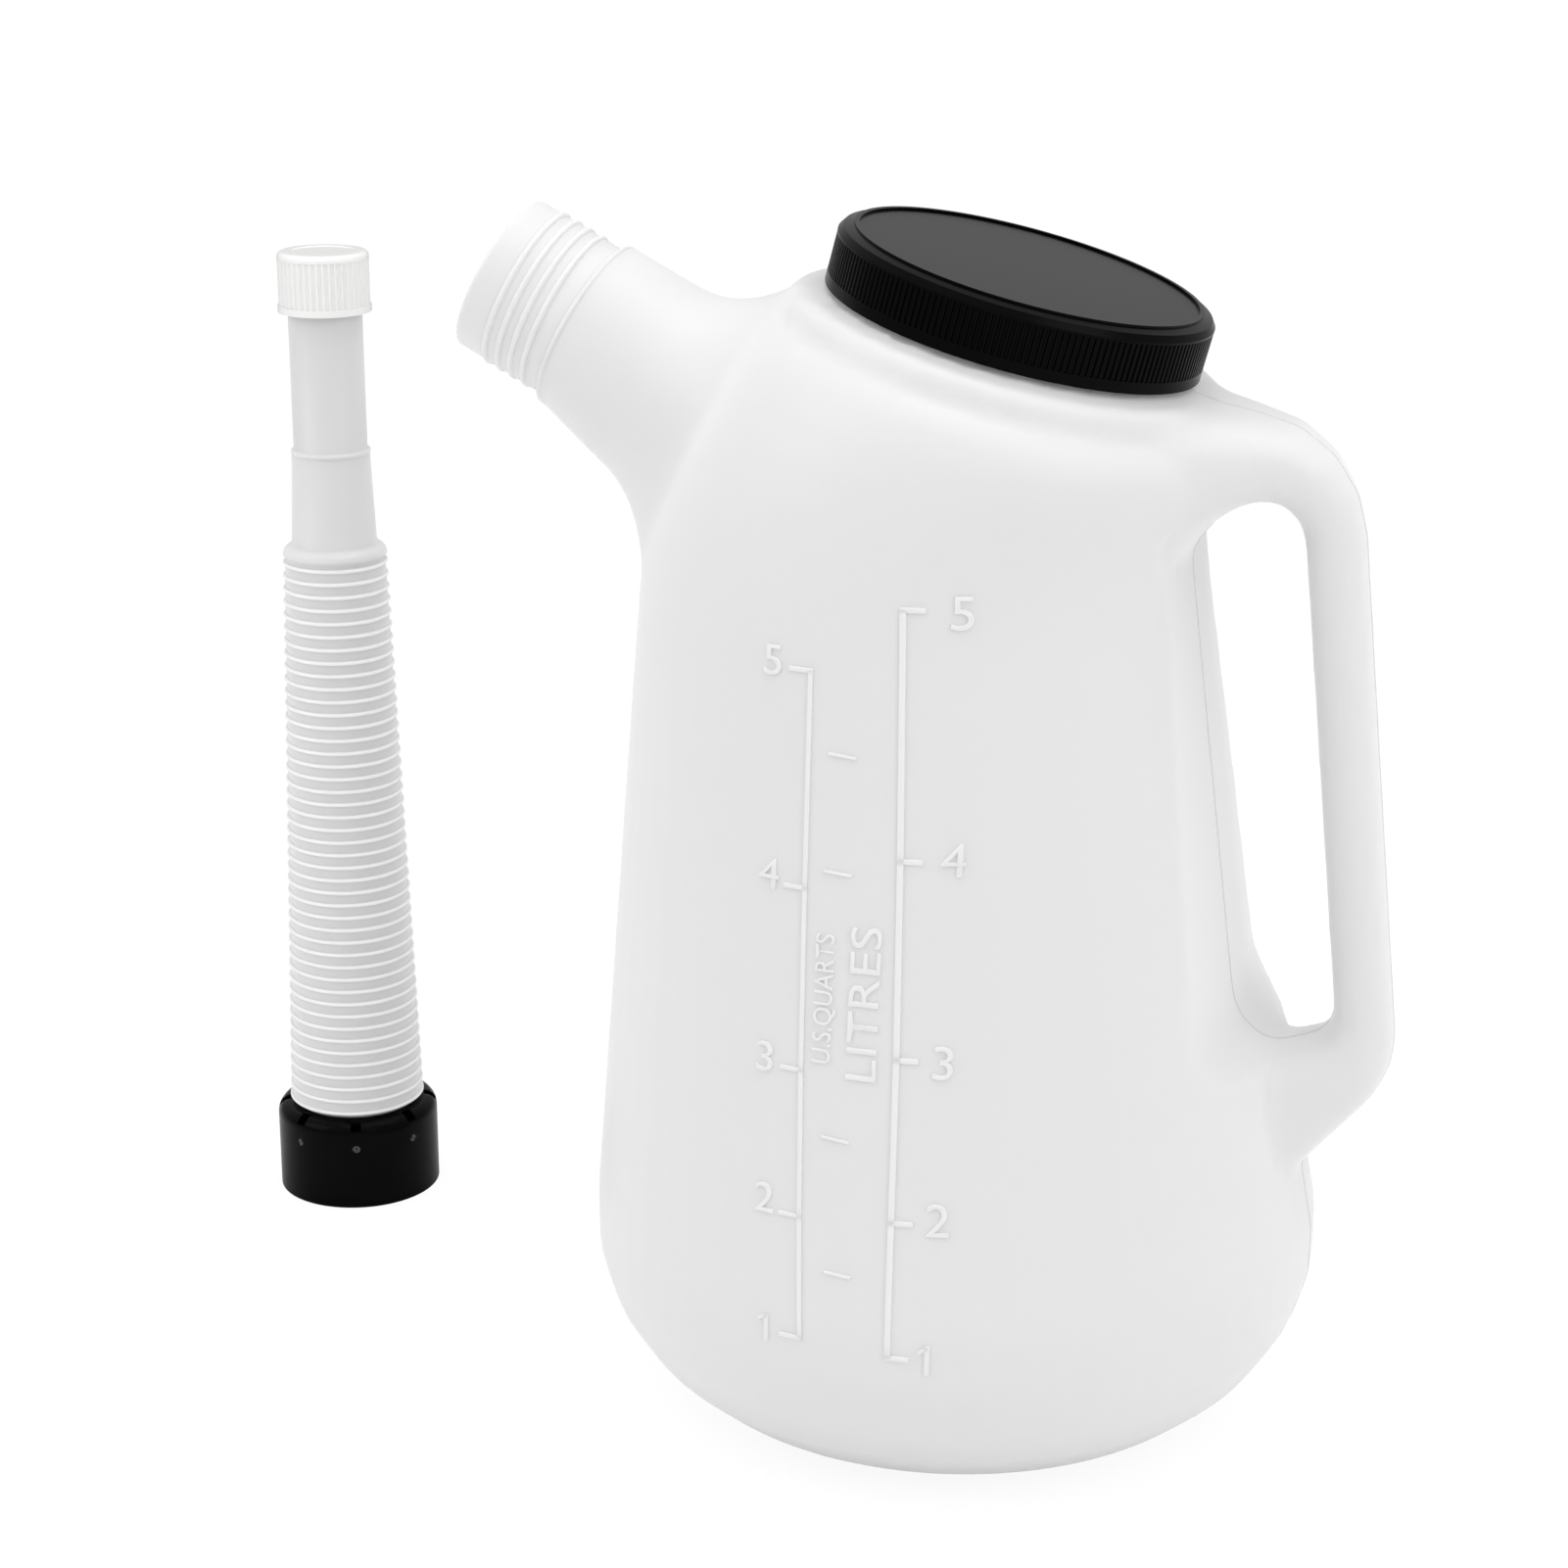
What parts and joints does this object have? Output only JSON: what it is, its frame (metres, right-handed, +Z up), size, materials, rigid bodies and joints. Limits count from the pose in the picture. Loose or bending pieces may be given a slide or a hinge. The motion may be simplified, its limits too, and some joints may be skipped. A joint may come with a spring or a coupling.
{
  "type": "oil fill jug",
  "caption": "Translucent measuring jug with a side handle, wide screw lid and angled threaded neck, with its flexible corrugated spout and cap standing beside it.",
  "frame": {"origin": "centre of the jug's flat base, on the floor", "axes": "+Z up, +X towards the handle, -X towards the pouring neck"},
  "size_m": [0.3513, 0.195, 0.3195],
  "materials": {
    "natural_hdpe": "satin, translucent",
    "black_pp": "satin",
    "natural_ldpe": "satin, translucent",
    "white_pp": "satin",
    "liner_foam": "matte"
  },
  "bodies": {
    "jug": {"jug_body": "natural_hdpe", "flexible_spout": "natural_ldpe"},
    "lid_seal": {"lid_liner": "liner_foam"},
    "lid": {"jug_lid": "black_pp"},
    "nut": {"coupling_nut": "black_pp"},
    "cap_seal": {"cap_liner": "liner_foam"},
    "cap": {"spout_cap": "white_pp"}
  },
  "joints": [
    {"name": "lid_lift", "type": "slide", "parent": "jug", "child": "lid_seal", "axis": [0.2521, 0, 0.9677], "range_m": [0, 0.0063]},
    {"name": "lid_turn", "type": "hinge", "parent": "lid_seal", "child": "lid", "pos_m": [0.0106, 0, 0.2905], "axis": [0.2521, 0, 0.9677], "range_deg": [0, 450]},
    {"name": "nut_turn", "type": "hinge", "parent": "jug", "child": "nut", "pos_m": [-0.21, 0.069, 0.014], "axis": [0, 0, 1], "continuous": true},
    {"name": "cap_lift", "type": "slide", "parent": "jug", "child": "cap_seal", "axis": [0, 0, 1], "range_m": [0, 0.0061]},
    {"name": "cap_turn", "type": "hinge", "parent": "cap_seal", "child": "cap", "pos_m": [-0.21, 0.069, 0.28], "axis": [0, 0, 1], "range_deg": [0, 720]}
  ],
  "couplings": [
    {"joint": "lid_lift", "follows": "lid_turn", "m_per_rad": 0.00079577},
    {"joint": "cap_lift", "follows": "cap_turn", "m_per_rad": 0.00047746}
  ]
}
